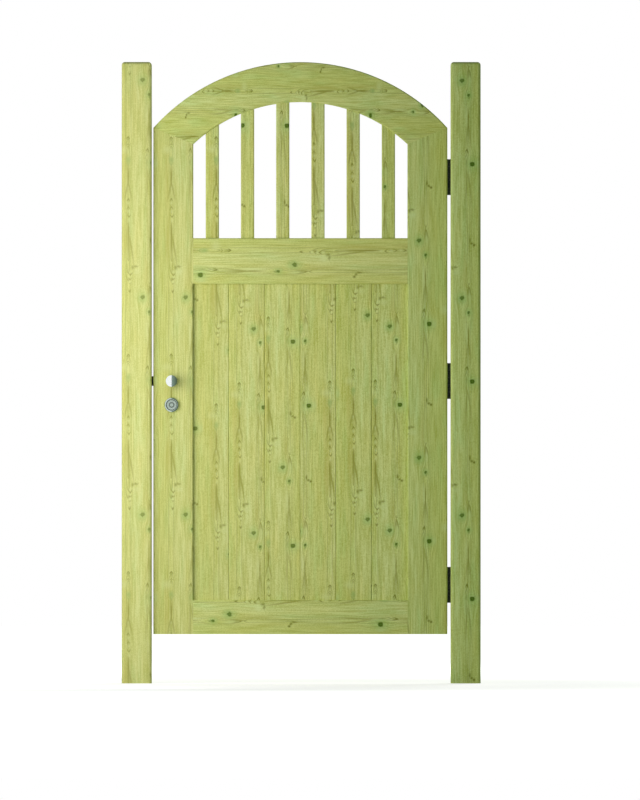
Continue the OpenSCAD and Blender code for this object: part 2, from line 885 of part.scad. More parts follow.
module thumb_turn() {
    rose_face = leaf_half_t + rose_t;
    color(satin)
        difference() {
            union() {
                y_rod(knob_x, key_z, neck_d / 2, leaf_half_t, rose_face + turn_flange_t);
                y_rod(knob_x, key_z, turn_flange_r, rose_face + slip, rose_face + turn_flange_t);
                intersection() {
                    y_rod(knob_x, key_z, turn_grip_r, rose_face + slip + cut, rose_face + turn_grip_out);
                    box([knob_x - turn_grip_t / 2, rose_face, key_z - collar_d],
                        [knob_x + turn_grip_t / 2, rose_face + 2 * turn_grip_out, key_z + collar_d]);
                }
            }
            box([knob_x - rod_side / 2, 0, key_z - rod_side / 2],
                [knob_x + rod_side / 2, rose_face, key_z + rod_side / 2]);
        }
}

// Roses

// The six rose screws: two for each knob rose and two for the turn rose
module at_rose_screws() {
    for (side = [-1, 1], place = [-1, 1])
        translate([knob_x, side * (leaf_half_t + rose_t), knob_z + place * knob_screw_r])
            rotate([-side * 90, 0, 0]) children();
    for (place = [-1, 1])
        translate([knob_x + place * turn_screw_r, leaf_half_t + rose_t, key_z])
            rotate([-90, 0, 0]) children();
}

module rose(z, r, side) {
    y0 = side > 0 ? leaf_half_t : -leaf_half_t - rose_t;
    color(satin)
        difference() {
            y_rod(knob_x, z, r, y0, y0 + rose_t);
            y_rod(knob_x, z, neck_d / 2 + running, y0 - cut, y0 + rose_t + cut);
            at_rose_screws() screw_hole(rose_screw_d, rose_screw_l);
        }
}

module rose_screws() {
    color(zinc) at_rose_screws() wood_screw(rose_screw_d, rose_screw_l);
}

// Knobs

// Half of a knob's section: x is the radius and y the distance out from the leaf
module knob_section() {
    r = knob_d / 2;
    crown_r = (r * r + knob_crown * knob_crown) / (2 * knob_crown);
    intersection() {
        union() {
            square([neck_d / 2, knob_out]);
            translate([0, knob_back]) square([r - knob_edge_r, knob_out - knob_back]);
            translate([0, knob_back + knob_edge_r]) square([r, knob_out - knob_back]);
            translate([r - knob_edge_r, knob_back + knob_edge_r]) circle(knob_edge_r);
        }
        translate([0, knob_out - crown_r]) circle(crown_r);
        square([r, knob_out]);
    }
}

module knob(side) {
    color(satin)
        difference() {
            translate([knob_x, side * leaf_half_t, knob_z]) rotate([side > 0 ? -90 : 90, 0, 0])
                rotate_extrude() knob_section();
            translate([knob_x, 0, knob_z])
                cube([spindle_side, 2 * spindle_reach, spindle_side], center = true);
            at_grub_screws() cylinder(h = neck_d, r = grub_d / 2);
        }
}

module at_grub_screws() {
    for (side = [-1, 1])
        translate([knob_x, side * (leaf_half_t + grub_out), knob_z - spindle_side / 2])
            rotate([180, 0, 0]) children();
}

module spindle() {
    color(zinc)
        translate([knob_x, 0, knob_z]) cube([spindle_side, 2 * spindle_reach, spindle_side], center = true);
}

module grub_screws() {
    color(zinc)
        at_grub_screws()
            difference() {
                cylinder(h = (neck_d - spindle_side) / 2 - slip, r = grub_d / 2);
                translate([0, 0, (neck_d - spindle_side) / 2 - slip])
                    cube([grub_d, screw_slot, 2 * screw_slot], center = true);
            }
}

latch_post();
hinge_post();
strike_plate();
strike_screws();
post_hinge_leaf(0);  // post_hinge_leaf_1
post_hinge_leaf(1);  // post_hinge_leaf_2
post_hinge_leaf(2);  // post_hinge_leaf_3
hinge_pin(0);  // hinge_pin_1
hinge_pin(1);  // hinge_pin_2
hinge_pin(2);  // hinge_pin_3
post_hinge_screws();
latch_stile();
hinge_stile();
arched_head();
middle_rail();
bottom_rail();
head_dowels();
board(0);  // board_1
board(1);  // board_2
board(2);  // board_3
board(3);  // board_4
board(4);  // board_5
board(5);  // board_6
baluster(0);  // baluster_1
baluster(1);  // baluster_2
baluster(2);  // baluster_3
baluster(3);  // baluster_4
baluster(4);  // baluster_5
baluster(5);  // baluster_6
gate_hinge_leaf(0);  // gate_hinge_leaf_1
gate_hinge_leaf(1);  // gate_hinge_leaf_2
gate_hinge_leaf(2);  // gate_hinge_leaf_3
gate_hinge_screws();
lock_case();
lock_cover();
lock_forend();
forend_screws();
latch_spring();
cylinder_body();
cylinder_collar();
rose(knob_z, knob_rose_d / 2, -1);  // front_knob_rose
rose(knob_z, knob_rose_d / 2, 1);  // back_knob_rose
rose(key_z, collar_d / 2, 1);  // turn_rose
rose_screws();
knob(-1);  // front_knob
knob(1);  // back_knob
spindle();
follower();
grub_screws();
latch_bolt();
key_plug();
tail_rod();
lock_cam();
thumb_turn();
dead_bolt();
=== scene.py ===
import logging
from dataclasses import dataclass
from enum import Enum
from functools import reduce

import bpy
import numpy as np
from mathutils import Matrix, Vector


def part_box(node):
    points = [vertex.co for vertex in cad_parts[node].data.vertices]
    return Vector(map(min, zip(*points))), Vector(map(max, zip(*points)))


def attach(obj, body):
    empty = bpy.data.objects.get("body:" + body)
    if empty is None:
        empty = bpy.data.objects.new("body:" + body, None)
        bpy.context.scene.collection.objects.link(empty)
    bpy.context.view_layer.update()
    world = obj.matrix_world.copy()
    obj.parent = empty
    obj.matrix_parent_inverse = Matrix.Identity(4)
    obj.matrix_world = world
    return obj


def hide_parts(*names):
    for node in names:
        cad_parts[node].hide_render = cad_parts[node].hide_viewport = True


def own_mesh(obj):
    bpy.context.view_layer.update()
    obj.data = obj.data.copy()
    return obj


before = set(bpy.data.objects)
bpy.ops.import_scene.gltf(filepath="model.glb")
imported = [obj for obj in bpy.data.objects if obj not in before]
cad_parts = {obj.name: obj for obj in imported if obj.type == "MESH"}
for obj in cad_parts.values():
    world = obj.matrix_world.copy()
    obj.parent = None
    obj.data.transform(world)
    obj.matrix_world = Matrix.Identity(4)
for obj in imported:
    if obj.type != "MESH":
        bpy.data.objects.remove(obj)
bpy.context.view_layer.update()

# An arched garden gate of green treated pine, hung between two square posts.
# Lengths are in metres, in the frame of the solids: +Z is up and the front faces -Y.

LOG = logging.getLogger("gate")
MM = 0.001
VECTOR = "ShaderNodeVectorMath"
Tree = bpy.types.NodeTree
Object = bpy.types.Object
Colour = tuple[float, float, float]
Points = tuple[tuple[float, float], ...]
Shell = tuple[np.ndarray, list[np.ndarray]]
WHITE: Colour = (1.0, 1.0, 1.0)


# Values in node trees


class Wire:
    """A value in a node tree. Each operator on it adds the Math node that does the same."""

    def __init__(self, socket: bpy.types.NodeSocket) -> None:
        """Keeps the socket that the value comes out of, and its tree."""
        self.socket = socket
        self.tree = socket.id_data

    def math(
        self, operation: str, *others: "Wire | float | Colour", kind: str = "ShaderNodeMath", output: int = 0
    ) -> "Wire":
        """Adds one Math or Vector Math node.

        Args:
            operation: What the node does.
            others: The node's inputs after this value.
            kind: The kind of node.
            output: The number of its output.

        Returns:
            The node's result.
        """
        node = self.tree.nodes.new(kind)
        node.operation = operation
        for socket, value in zip(node.inputs, (self, *others)):
            feed(value, socket)
        return Wire(node.outputs[output])

    def __add__(self, other: "Wire | float") -> "Wire":
        """The sum."""
        return self.math("ADD", other)

    def __sub__(self, other: "Wire | float") -> "Wire":
        """The difference."""
        return self.math("SUBTRACT", other)

    def __mul__(self, other: "Wire | float") -> "Wire":
        """The product."""
        return self.math("MULTIPLY", other)

    def __truediv__(self, other: "Wire | float") -> "Wire":
        """The quotient."""
        return self.math("DIVIDE", other)

    def bell(self, width: float) -> "Wire":
        """A bell curve of this value: 1 at nought, and e to the minus 1 at width."""
        scaled = self / width
        return (scaled * scaled * -1.0).math("EXPONENT")

    def near(self, width: float) -> "Wire":
        """1 where this value is nought, down to 0 where it is width or more from nought."""
        return self.math("ABSOLUTE").ease(width, 0.0)

    def toward(self, other: "Wire", share: "Wire") -> "Wire":
        """This value moved by a share of the way towards another."""
        return self + (other - self) * share

    def ease(self, low: float, high: float) -> "Wire":
        """A smooth step of this value.

        Args:
            low: Where the step is 0.
            high: Where it is 1. Below low it makes a step that falls.

        Returns:
            The step, from 0 to 1.
        """
        node = self.tree.nodes.new("ShaderNodeMapRange")
        node.interpolation_type = "SMOOTHSTEP"
        return fill(
            node, Value=self, From_Min=min(low, high), From_Max=max(low, high),
            To_Min=float(low > high), To_Max=float(low < high),
        )


def feed(value: "Wire | float | tuple[float, ...]", socket: bpy.types.NodeSocket) -> None:
    """Links a wire to a socket, or sets the socket to a plain value.

    Args:
        value: The wire, number or tuple.
        socket: The socket that takes it.
    """
    if isinstance(value, Wire):
        value.tree.links.new(value.socket, socket)
    else:
        socket.default_value = value


def fill(node: bpy.types.Node, **values: object) -> Wire:
    """Feeds a node's inputs.

    Args:
        node: The node.
        values: What each input gets, by its name with an underscore for each space.

    Returns:
        The node's first output.
    """
    for label, value in values.items():
        feed(value, node.inputs[label.replace("_", " ")])
    return Wire(node.outputs[0])


def largest(values: list[Wire]) -> Wire:
    """The largest of some values."""
    return reduce(lambda most, value: most.math("MAXIMUM", value), values)


def vector(*parts: "Wire | float") -> Wire:
    """Joins three values into a vector.

    Args:
        parts: The values. The first is a wire.

    Returns:
        The vector.
    """
    node = parts[0].tree.nodes.new("ShaderNodeCombineXYZ")
    for socket, value in zip(node.inputs, parts):
        feed(value, socket)
    return Wire(node.outputs[0])


def parts_of(whole: Wire) -> tuple[Wire, Wire, Wire]:
    """The three parts of a vector."""
    node = whole.tree.nodes.new("ShaderNodeSeparateXYZ")
    feed(whole, node.inputs[0])
    return tuple(Wire(out) for out in node.outputs)


def noise(place: Wire, scale: float, detail: float = 2.0, roughness: float = 0.5) -> Wire:
    """Noise about nought at a place, from about -0.5 to 0.5.

    Args:
        place: The point to read it at.
        scale: The number of lumps in one unit.
        detail: The number of finer layers.
        roughness: The strength of the finer layers.

    Returns:
        The noise less one half.
    """
    node = place.tree.nodes.new("ShaderNodeTexNoise")
    return fill(node, Vector=place, Scale=scale, Detail=detail, Roughness=roughness) - 0.5


def dye(share: "Wire | float", under: "Wire | Colour", over: "Wire | Colour", way: str = "MIX") -> Wire:
    """Lays one colour over another. At least one of the three is a wire.

    Args:
        share: How much of the upper colour shows.
        under: The lower colour.
        over: The upper colour.
        way: The Mix node's blend type.

    Returns:
        The mixed colour.
    """
    tree = next(given.tree for given in (share, under, over) if isinstance(given, Wire))
    node = tree.nodes.new("ShaderNodeMix")
    node.data_type = "RGBA"
    node.blend_type = way
    for index, value in ((0, share), (6, under), (7, over)):
        feed((*value, 1.0) if isinstance(value, tuple) else value, node.inputs[index])
    return Wire(node.outputs[2])


def graph(at: Wire, points: Points, start: float, end: float, top: float) -> Wire:
    """A curve of straight pieces, held in a colour ramp.

    Args:
        at: The value to look up.
        points: The curve's points, each a place and a height.
        start: The place of the ramp's left end.
        end: The place of its right end.
        top: The height that the ramp's white stands for.

    Returns:
        The curve's height at the value.
    """
    node = at.tree.nodes.new("ShaderNodeValToRGB")
    feed((at - start) / (end - start), node.inputs[0])
    stops = node.color_ramp.elements
    while len(stops) < len(points):
        stops.new(0.5)
    for stop, (place, height) in zip(stops, points):
        stop.position = (place - start) / (end - start)
        stop.color = (height / top,) * 3 + (1.0,)
    return Wire(node.outputs[0]) * top


def new_group(
    name: str, inputs: dict[str, str], outputs: dict[str, str]
) -> tuple[Tree, dict[str, Wire], bpy.types.Node]:
    """Starts a node group.

    Args:
        name: The group's name.
        inputs: The kind of each input socket, by name.
        outputs: The kind of each output socket, by name.

    Returns:
        The group, a wire for each input, and the node that takes the outputs.
    """
    tree = bpy.data.node_groups.new(name, "ShaderNodeTree")
    for side, sockets in (("INPUT", inputs), ("OUTPUT", outputs)):
        for label, kind in sockets.items():
            tree.interface.new_socket(label, in_out=side, socket_type=f"NodeSocket{kind}")
    entry = tree.nodes.new("NodeGroupInput")
    leave = tree.nodes.new("NodeGroupOutput")
    return tree, {label: Wire(entry.outputs[label]) for label in inputs}, leave


def use_group(group: Tree, tree: Tree, **values: object) -> dict[str, Wire]:
    """Puts a group into a tree and feeds its inputs.

    Args:
        group: The group.
        tree: The tree that takes it.
        values: What each input gets, by the socket's name.

    Returns:
        A wire for each output, by name.
    """
    node = tree.nodes.new("ShaderNodeGroup")
    node.node_tree = group
    fill(node, **values)
    return {out.name: Wire(out) for out in node.outputs}


def new_material(name: str) -> tuple[bpy.types.Material, Tree, bpy.types.Node]:
    """Starts a material with one Principled shader.

    Args:
        name: The material's name.

    Returns:
        The material, its tree and its shader.
    """
    material = bpy.data.materials.new(name)
    material.use_nodes = True
    tree = material.node_tree
    return material, tree, tree.nodes["Principled BSDF"]


def coordinate(tree: Tree, output: str = "Object") -> Wire:
    """The point in the object's own coordinates, or another output of the same node."""
    return Wire(tree.nodes.new("ShaderNodeTexCoord").outputs[output])


def ray(tree: Tree, kind: str) -> Wire:
    """1 where the ray is of a kind, Camera, Glossy or Transmission, and 0 where it isn't."""
    return Wire(tree.nodes.new("ShaderNodeLightPath").outputs[f"Is {kind} Ray"])


def bump(height: Wire, strength: float, depth: float) -> Wire:
    """The normal of a surface with relief: its height from 0 to 1, how much shows, and its depth."""
    node = height.tree.nodes.new("ShaderNodeBump")
    return fill(node, Height=height, Strength=strength, Distance=depth)


# Treated pine


class Grain(Enum):
    """The way that a timber's grain runs."""

    UPRIGHT = "upright"
    LEVEL = "level"


class Tone(Enum):
    """The colours that marks are drawn in over the pine's own, from the lowest layer to the highest."""

    GOLD = (0.505, 0.445, 0.085)
    GREEN = (0.310, 0.460, 0.130)
    PALE = (0.720, 0.800, 0.370)
    RUST = (0.262, 0.262, 0.030)
    OLIVE = (0.180, 0.203, 0.014)


@dataclass(frozen=True)
class Knot:
    """A knot of the pine: its place across and along the grain, its radius, and how dark it is."""

    across: float
    along: float
    radius: float
    dark: float


@dataclass(frozen=True)
class Peak:
    """A pointed growth ring: two legs that lean away from its apex.

    lean is how far they run along the grain for each step across, reach how far across they go, thick the
    line's half width, share how much of it shows, and skew how far the whole leans over. full is the share of
    the reach over which the legs keep their strength.
    """

    across: float
    along: float
    lean: float
    reach: float
    thick: float
    share: float
    tone: Tone = Tone.OLIVE
    skew: float = 0.0
    full: float = 0.4

    def draw(self, place: Wire) -> Wire:
        """How much of the peak shows at a place: the distance to the nearer leg, eased.

        Args:
            place: A point of the sheet, across and along the grain.

        Returns:
            The share, from 0 to 1.
        """
        u, v, _ = parts_of(place)
        down = v - self.along
        aside = (u - self.across - down * self.skew).math("ABSOLUTE")
        line = (down - aside * self.lean).near(self.thick * (1 + self.lean**2) ** 0.5)
        return line * aside.ease(self.reach, self.reach * self.full) * self.share


@dataclass(frozen=True)
class Fleck:
    """A soft spot or streak: its centre and its half widths across and along the grain."""

    across: float
    along: float
    wide: float
    tall: float
    share: float
    tone: Tone = Tone.OLIVE

    def draw(self, place: Wire) -> Wire:
        """How much of the fleck shows at a place: the distance to its centre in half widths, eased.

        Args:
            place: A point of the sheet, across and along the grain.

        Returns:
            The share, from 0 to 1.
        """
        size = (1 / self.wide, 1 / self.tall, 0.0)
        start = (-self.across / self.wide, -self.along / self.tall, 0.0)
        off = place.math("MULTIPLY_ADD", size, start, kind=VECTOR)
        return off.math("LENGTH", kind=VECTOR, output=1).ease(1.0, 0.0) * self.share


@dataclass(frozen=True)
class Heart:
    """A line of growth rings: its place across the grain, and how deep their centre lies along it."""

    across: float
    depths: Points


@dataclass(frozen=True)
class Streak:
    """Noise drawn out along the grain, with so many lumps in a millimetre across the grain and along it.

    layers and rough are the number and the strength of its finer layers, and share is how much it counts.
    """

    across: float
    along: float
    layers: float = 2.0
    rough: float = 0.5
    share: float = 0.0

    def draw(self, place: Wire) -> Wire:
        """The noise at a point in millimetres, given across the grain, deep and along the grain."""
        drawn_out = place.math("MULTIPLY", (self.across, self.across, self.along), kind=VECTOR)
        return noise(drawn_out, 1.0, self.layers, self.rough)


@dataclass(frozen=True)
class KnotForm:
    """The form that all knots share. Distances from a knot's centre are counted in its own radii.

    Those along the grain and deep count less, by two shares, and noise makes them ragged. The core fades out
    from core_in to core_out, and is paler within heart. The halo is a bell as wide as halo. The share pull
    draws the grain in, over three bells: across, along and deep.
    """

    along_share: float = 0.8
    deep_share: float = 0.3
    lumps: float = 0.17
    ragged: float = 1.3
    halo_ragged: float = 1.5
    core_in: float = 0.55
    core_out: float = 1.15
    heart: float = 0.5
    heart_pale: float = 0.12
    halo: float = 2.3
    bells: tuple[float, float, float] = (2.6, 5.0, 3.0)
    pull: float = 0.8

    def group(self) -> Tree:
        """Makes the group that draws one knot.

        It gives the dark core, the halo, and how far the place across the grain is moved, so that the lines
        part round the knot.

        Returns:
            The group.
        """
        tree, given, leave = new_group(
            "pine_knot",
            {"Place": "Vector", "Centre": "Vector", "Radius": "Float"},
            {"Core": "Float", "Halo": "Float", "Bend": "Float"},
        )
        place, radius = given["Place"], given["Radius"]
        away = place.math("SUBTRACT", given["Centre"], kind=VECTOR)
        across, deep, along = (part / radius for part in parts_of(away))
        flat = across * across + along * along * self.along_share
        ragged = noise(place, self.lumps)
        far = (flat + deep * deep * self.deep_share).math("SQRT") + ragged * self.ragged
        heart = far.ease(self.heart, 0.0) * -self.heart_pale + 1.0
        feed(far.ease(self.core_out, self.core_in) * heart, leave.inputs["Core"])
        feed((far + ragged * self.halo_ragged).bell(self.halo), leave.inputs["Halo"])
        reach = across.bell(self.bells[0]) * along.bell(self.bells[1]) * deep.bell(self.bells[2])
        feed(across * radius * reach * -self.pull, leave.inputs["Bend"])
        return tree


@dataclass(frozen=True)
class PineSheet:
    """The pattern that every timber is cut from, in millimetres. It repeats across and along the grain.

    even is the colour of a timber without figure. pale and mid are the ends of the grain's own colour, and
    the colours from greener to olive_zone multiply it. Each share is how much of a layer shows.
    """

    width: float = 137.3
    length: float = 654.0
    left: float = -40.0
    top: float = -105.0
    even: Colour = (0.600, 0.645, 0.208)
    pale: Colour = (0.715, 0.765, 0.304)
    mid: Colour = (0.490, 0.540, 0.126)
    greener: Colour = (0.94, 1.01, 1.04)
    goldener: Colour = (1.03, 0.99, 0.93)
    cream_zone: Colour = (1.04, 1.04, 1.12)
    olive_zone: Colour = (0.96, 0.96, 0.84)
    halo_green: Colour = (0.350, 0.560, 0.170)
    knot_green: Colour = (0.072, 0.142, 0.002)
    end_grain: Colour = (0.300, 0.330, 0.110)
    sway: Streak = Streak(0.02, 0.006, share=1.8)
    ragged: Streak = Streak(0.16, 0.07)
    ragged_across: float = 2.0
    ragged_along: float = 5.0
    hair: Streak = Streak(0.9, 0.009, 2.0, 0.6, 1.3)
    fine: Streak = Streak(0.27, 0.011, 2.0, 0.6, 1.8)
    wide: Streak = Streak(0.1, 0.006, 2.0, 0.6, 0.35)
    broad: Streak = Streak(0.022, 0.003, share=0.1)
    pore: Streak = Streak(0.45, 0.28, 1.0, share=1.3)
    wash: Streak = Streak(0.035, 0.006)
    wash_full: float = 0.22
    light_middle: float = 0.55
    zone_sway: float = 14.0
    ring: float = 4.0
    ring_depth_top: float = 16.0
    ring_near: float = 22.0
    ring_far: float = 55.0
    ring_far_share: float = 0.3
    ring_sharp: float = 3.0
    ring_edge: float = 0.90
    ring_share: float = 0.55
    halo_share: float = 0.50
    core_share: float = 0.95
    pith_depth: float = 70.0
    end_sway: float = 4.0
    end_sharp: float = 2.0
    end_share: float = 0.55
    end_ring_share: float = 0.45
    rough: float = 0.70
    rough_fine: float = 0.20
    relief_hair: float = 0.5
    relief_fine: float = 0.6
    relief_middle: float = 0.5
    relief_sunk: float = 0.3
    zones: Points = (
        (-40, 0.95), (-20, 1.0), (-8, 0.75), (0, 0.5), (10, 0.3), (20, 0.15), (33, 0.0), (42, 0.35),
        (60, 0.3), (72, 0.5), (80, 0.85), (97.3, 0.95),
    )
    knots: tuple[Knot, ...] = (
        Knot(43, 473, 7.4, 0.85),
        Knot(74, 71, 7.8, 1),
        Knot(62.6, 517, 4.4, 0.85),
    )
    hearts: tuple[Heart, ...] = (
        Heart(0, (
            (-105, 13), (-20, 12.6), (-8, 12.2), (6, 10.4), (19, 7.4), (30, 5.2), (78, 4.2), (135, 2.9),
            (160, 2.2), (182, 2.6), (205, 2.2), (228, 4.2), (247, 3.8), (300, 3), (349, 1.6), (360, 3),
            (376, 5.5), (395, 6.8), (410, 9), (421, 11.4), (435, 12.4), (458, 13), (549, 13),
        )),
        Heart(62.4, (
            (-105, 4.4), (-84, 3.8), (-20, 3.2), (23, 1.8), (28, 8.6), (40, 6.4), (50, 5.2), (72, 4.6),
            (200, 5.4), (316, 6.6), (340, 6), (425, 5.2), (437, 8.6), (450, 6.2), (480, 4.9), (505, 4.3),
            (520, 3.4), (535, 4), (549, 4.4),
        )),
    )
    marks: tuple[Peak | Fleck, ...] = (
        Peak(0, -9, 1.2, 7, 3, 0.9),
        Peak(0, 12, 0.8, 7, 2.6, 0.6),
        Peak(0, 76, -2.2, 9, 3.6, 0.6, Tone.GREEN),
        Peak(0, 128, 4.4, 15, 4.2, 0.6, Tone.RUST),
        Peak(0, 177, 1.3, 6, 3, 0.75),
        Peak(0, 202, 1.2, 6, 2.8, 0.65),
        Peak(2, 232, -1.2, 7, 3, 0.75),
        Peak(1, 284, 10, 10, 5.4, 0.65, Tone.RUST, 0.1),
        Peak(6, 407, -1, 8, 2.8, 0.7),
        Peak(5.5, 421, -1, 7, 2.4, 0.6),
        Peak(5, 434, -1, 6, 2.2, 0.45),
        Peak(4.5, 458, -1.6, 5, 3.4, 0.8),
        Peak(60.5, 438, 3.4, 11, 4, 0.6, Tone.RUST),
        Peak(61, 452, 2.4, 6, 3, 0.45, Tone.RUST),
        Peak(62.5, -50, 7, 10, 4, 0.5, Tone.RUST),
        Peak(60.5, 27, 1.7, 6.5, 3.6, 0.9),
        Peak(61, 42, 2.4, 7, 2.6, 0.45),
        Peak(62, 92, 9, 13, 4.2, 0.45, Tone.RUST),
        Fleck(0, 106, 6, 52, 0.8, Tone.RUST),
        Fleck(0.5, 276, 5.6, 48, 0.75, Tone.RUST),
        Fleck(13.5, 384, 6.5, 10, 0.72),
        Fleck(22.5, 381, 11, 5.5, 0.66),
        Fleck(62.5, -72, 4, 44, 0.65, Tone.RUST),
        Fleck(67, 301, 4.6, 13, 0.8),
        Fleck(72.5, 310, 8, 6, 0.8),
        Fleck(79.5, 314, 6.5, 7, 0.95),
        Fleck(63, 66, 4, 20, 0.6),
        Fleck(0, 60, 11, 17, 0.75, Tone.GREEN),
        Fleck(43, 482, 14, 17, 0.25, Tone.GREEN),
        Fleck(-10, 300, 16, 100, 0.42, Tone.GOLD),
        Fleck(-14, 120, 12, 140, 0.3, Tone.GOLD),
        Fleck(52, 410, 12, 110, 0.27, Tone.GOLD),
        Fleck(-13, 30, 24, 20, 0.4, Tone.PALE),
        Fleck(0, 144, 5.5, 8, 0.45, Tone.PALE),
        Fleck(0, 191, 5.5, 8, 0.5, Tone.PALE),
        Fleck(1, 216, 5.5, 8, 0.55, Tone.PALE),
        Fleck(1.5, 243, 5.5, 10, 0.5, Tone.PALE),
        Fleck(24, 397, 17, 14, 0.4, Tone.PALE),
        Fleck(6, 397, 6, 8, 0.55, Tone.PALE),
        Fleck(5.5, 413, 6, 6, 0.5, Tone.PALE),
        Fleck(5, 427, 6, 6, 0.55, Tone.PALE),
        Fleck(62.5, 470, 7, 34, 0.45, Tone.PALE),
        Fleck(57, -75, 6, 50, 0.45, Tone.PALE),
        Fleck(61.5, 46, 5.5, 11, 0.45, Tone.PALE),
        Fleck(84, 70, 12, 20, 0.4, Tone.PALE),
    )

    def group(self) -> Tree:
        """Makes the group that gives the pine's colour, roughness and relief at a point in millimetres.

        Noise drawn out along the grain makes the streaks. Round each heart line the rings are the distance
        from a line as deep as its depths say, over the ring width, dark where the remainder nears one.

        Returns:
            The group.
        """
        tree, given, leave = new_group(
            "treated_pine",
            {"Place": "Vector", "Deep": "Float", "End": "Float"},
            {"Colour": "Color", "Rough": "Float", "Height": "Float"},
        )
        place = given["Place"]
        across, depth, along = parts_of(place)
        u = across.math("WRAP", self.left + self.width, self.left)
        v = along.math("WRAP", self.top + self.length, self.top)
        spot = vector(u, given["Deep"], v)
        knot = KnotForm().group()
        ragged = self.ragged.draw(place)
        bend = self.sway.draw(place) * self.sway.share
        cores, halos = [], []
        for mark in self.knots:
            out = use_group(knot, tree, Place=spot, Centre=(mark.across, 0.0, mark.along), Radius=mark.radius)
            bend = bend + out["Bend"]
            cores.append(out["Core"] * mark.dark)
            halos.append(out["Halo"])
        core = largest(cores)
        fibre = vector(across + bend, depth, along)
        streaks = (self.hair, self.fine, self.wide, self.broad, self.pore, self.wash)
        hair, fine, wide, broad, pore, wash = (streak.draw(fibre) for streak in streaks)
        light = (
            hair * self.hair.share + fine * self.fine.share + wide * self.wide.share
            + broad * self.broad.share + pore * self.pore.share + self.light_middle
        )
        colour = dye(light.ease(0.0, 1.0), self.mid, self.pale)
        zone = graph(u + broad * self.zone_sway, self.zones, self.left, self.left + self.width, 1.0)
        colour = dye(1.0, colour, dye(zone, self.cream_zone, self.olive_zone), "MULTIPLY")
        colour = dye(wash.ease(0.0, self.wash_full), colour, self.greener, "MULTIPLY")
        colour = dye((wash * -1.0).ease(0.0, self.wash_full), colour, self.goldener, "MULTIPLY")
        u_bent = u + bend + ragged * self.ragged_across
        sheet_place = vector(u_bent, v + ragged * self.ragged_along, 0.0)
        lines = []
        for heart in self.hearts:
            aside = u_bent - heart.across
            height = graph(v, heart.depths, self.top, self.top + self.length, self.ring_depth_top)
            away = (aside * aside + height * height).math("SQRT")
            saw = (away / self.ring).math("FRACT")
            shown = aside.near(self.ring_near) + aside.near(self.ring_far) * self.ring_far_share
            lines.append(saw.math("POWER", self.ring_sharp) * saw.ease(1.0, self.ring_edge) * shown)
        rings = largest(lines)
        colour = dye(rings * self.ring_share, colour, Tone.OLIVE.value)
        for tone in Tone:
            shown = largest([mark.draw(sheet_place) for mark in self.marks if mark.tone is tone])
            colour = dye(shown, colour, tone.value)
        colour = dye(largest(halos) * self.halo_share, colour, self.halo_green)
        colour = dye(core * self.core_share, colour, self.knot_green)
        below = depth + self.pith_depth
        from_pith = (across * across + below * below).math("SQRT") + broad * self.end_sway
        end_ring = (from_pith / self.ring).math("FRACT").math("POWER", self.end_sharp)
        colour = dye(given["End"] * self.end_share, colour, self.end_grain)
        colour = dye(given["End"] * end_ring * self.end_ring_share, colour, Tone.OLIVE.value)
        feed(colour, leave.inputs["Colour"])
        feed(fine * self.rough_fine + self.rough, leave.inputs["Rough"])
        relief = hair * self.relief_hair + fine * self.relief_fine + self.relief_middle
        feed(relief - (rings + core) * self.relief_sunk, leave.inputs["Height"])
        return tree


@dataclass(frozen=True)
class Timber:
    """One timber and how it is cut from the pine sheet.

    line is where the sheet's heart line lies across the grain, and start where the sheet begins along it, in
    millimetres of the frame. stretch lengthens the sheet along the grain, and tint_and_shade multiplies its
    colour: each timber's own tone, and on the hinge side a painted shade that makes it darker and greener.
    figure_through_highlight is how much of its pattern shows; it is lower on the lit latch side, where the
    flatter pattern is a painted highlight. Faces that look sideways have a cut of their own: the depth,
    shifted by edge_line, stands in for the place across the grain, and the sheet begins edge_start further
    on. These are faces where the normal's share towards the front falls over edge_turn, and end grain shows
    where its share upwards climbs over end_turn.
    """

    node: str
    line: float
    start: float
    stretch: float = 1.0
    tint_and_shade: Colour = WHITE
    figure_through_highlight: float = 1.0
    grain: Grain = Grain.UPRIGHT
    edge_line: float = 31.0
    edge_start: float = 210.0
    end_turn: tuple[float, float] = (0.3, 0.9)
    edge_turn: tuple[float, float] = (0.50, 0.45)
    gloss: float = 0.1
    relief: float = 0.5
    relief_depth: float = 0.4

    def inside(self, at: Wire, middle: float, half: float) -> Wire:
        """How many millimetres a coordinate lies inside the nearer of two faces, half from the middle."""
        return ((at - middle).math("ABSOLUTE") * -1.0 + half) / MM

    def material(self, pine: Tree) -> bpy.types.Material:
        """Makes the timber's own material.

        Args:
            pine: The pine's group.

        Returns:
            The material.
        """
        material, tree, shader = new_material(f"pine_{self.node}")
        x, y, z = parts_of(coordinate(tree))
        upright = self.grain is Grain.UPRIGHT
        across, along = (x, z) if upright else (z, x)
        sign = 1.0 if upright else -1.0
        low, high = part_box(self.node)
        side = 0 if upright else 2
        u = across * (sign / MM) - sign * self.line
        v = (along * (-1.0 / MM) + self.start) / self.stretch
        depth = y / MM
        deep = self.inside(y, 0.0, (high.y - low.y) / 2)
        inward = self.inside(across, (low[side] + high[side]) / 2, (high[side] - low[side]) / 2)
        _, front, top = (part.math("ABSOLUTE") for part in parts_of(coordinate(tree, "Normal")))
        ends = top.ease(*self.end_turn) if upright else 0.0
        edge = front.ease(*self.edge_turn)
        if upright:
            edge = edge * (ends * -1.0 + 1.0)
        edge_u = u.toward(depth + self.edge_line, edge)
        place = vector(edge_u, depth.toward(u, edge), v + edge * self.edge_start)
        pattern = use_group(pine, tree, Place=place, Deep=deep.toward(inward, edge), End=ends)
        # Painted highlight: a lower figure on the lit latch side flattens the pattern towards the even
        # colour.
        colour = dye(self.figure_through_highlight, PineSheet.even, pattern["Colour"])
        # Painted shade: the tint darkens and greens the hinge-side timbers, beside each timber's own tone.
        tinted_and_shaded = dye(1.0, colour, self.tint_and_shade, "MULTIPLY")
        normal = bump(pattern["Height"], self.relief, self.relief_depth * MM)
        rough = pattern["Rough"]
        fill(shader, Base_Color=tinted_and_shaded, Roughness=rough, Specular_IOR_Level=self.gloss, Normal=normal)
        return material


